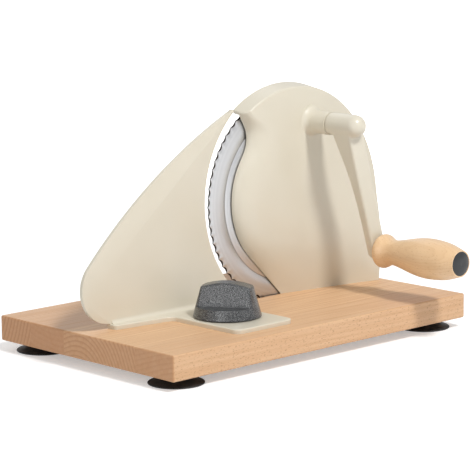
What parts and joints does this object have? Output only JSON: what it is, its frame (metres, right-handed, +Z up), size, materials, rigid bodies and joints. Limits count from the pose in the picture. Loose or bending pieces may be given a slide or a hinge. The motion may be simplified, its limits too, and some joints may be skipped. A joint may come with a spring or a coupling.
{
  "type": "hand cranked bread slicer",
  "caption": "Hand cranked bread slicer: a serrated round blade in a cast housing, a sliding guide fence with a clamp knob, and a wooden board on suction feet.",
  "frame": {"origin": "on the table, under the middle of the whole object's box", "axes": "+X along the board from the guide fence to the crank, +Y away from the crank, +Z up"},
  "size_m": [0.35, 0.2678, 0.22],
  "materials": {
    "board_wood": "oiled beech, fine grain",
    "handle_wood": "lacquered light beech",
    "cream_paint": "glossy cream paint on a casting",
    "blade_steel": "satin stainless steel",
    "sheet_steel": "zinc plated sheet",
    "shaft_steel": "ground steel",
    "screw_steel": "zinc plated steel",
    "bronze": "sintered bronze",
    "brass": "turned brass",
    "rubber": "black rubber",
    "gear_plastic": "natural acetal",
    "washer_plastic": "pale nylon",
    "plug_plastic": "dark grey plastic",
    "knob_plastic": "dark grey hammered lacquer"
  },
  "bodies": {
    "base": {"board": "board_wood", "foot_front_left": "rubber", "foot_front_right": "rubber", "foot_back_left": "rubber", "foot_back_right": "rubber", "foot_screws": "screw_steel", "housing": "cream_paint", "housing_screws": "screw_steel", "gear_cover": "sheet_steel", "gear_cover_screws": "screw_steel", "blade_axle": "shaft_steel", "axle_washer": "screw_steel", "axle_screw": "screw_steel", "crank_bush": "bronze", "guide_key": "gear_plastic", "clamp_bolt": "screw_steel", "clamp_washer": "screw_steel"},
    "crank": {"crank_shaft": "shaft_steel", "crank_gear": "shaft_steel", "crank_circlip": "screw_steel", "crank_washer": "washer_plastic", "crank_arm": "cream_paint", "handle_spindle": "shaft_steel", "handle_washer": "screw_steel"},
    "blade_unit": {"blade": "blade_steel", "blade_gear": "gear_plastic", "blade_bush": "bronze", "blade_screws": "screw_steel"},
    "handle": {"handle_grip": "handle_wood", "end_plug": "plug_plastic"},
    "fence": {"fence": "cream_paint"},
    "knob": {"clamp_knob": "knob_plastic", "knob_insert": "brass"}
  },
  "joints": [
    {"name": "crank_spin", "type": "hinge", "parent": "base", "child": "crank", "pos_m": [0.0871, -0.03765, 0.18466], "axis": [0, 1, 0], "continuous": true},
    {"name": "blade_spin", "type": "hinge", "parent": "base", "child": "blade_unit", "pos_m": [0.0675, 0.02835, 0.1185], "axis": [0, 1, 0], "continuous": true},
    {"name": "handle_spin", "type": "hinge", "parent": "crank", "child": "handle", "pos_m": [0.1199, -0.03785, 0.07027], "axis": [0, 1, 0], "continuous": true},
    {"name": "fence_slide", "type": "slide", "parent": "base", "child": "fence", "axis": [0, -1, 0], "range_m": [-0.0034, 0.0126]},
    {"name": "knob_turn", "type": "hinge", "parent": "base", "child": "knob", "pos_m": [-0.05375, -0.02265, 0.035], "axis": [0, 0, 1], "range_deg": [0, 270]}
  ],
  "couplings": [
    {"joint": "blade_spin", "follows": "crank_spin", "ratio": -0.5}
  ]
}
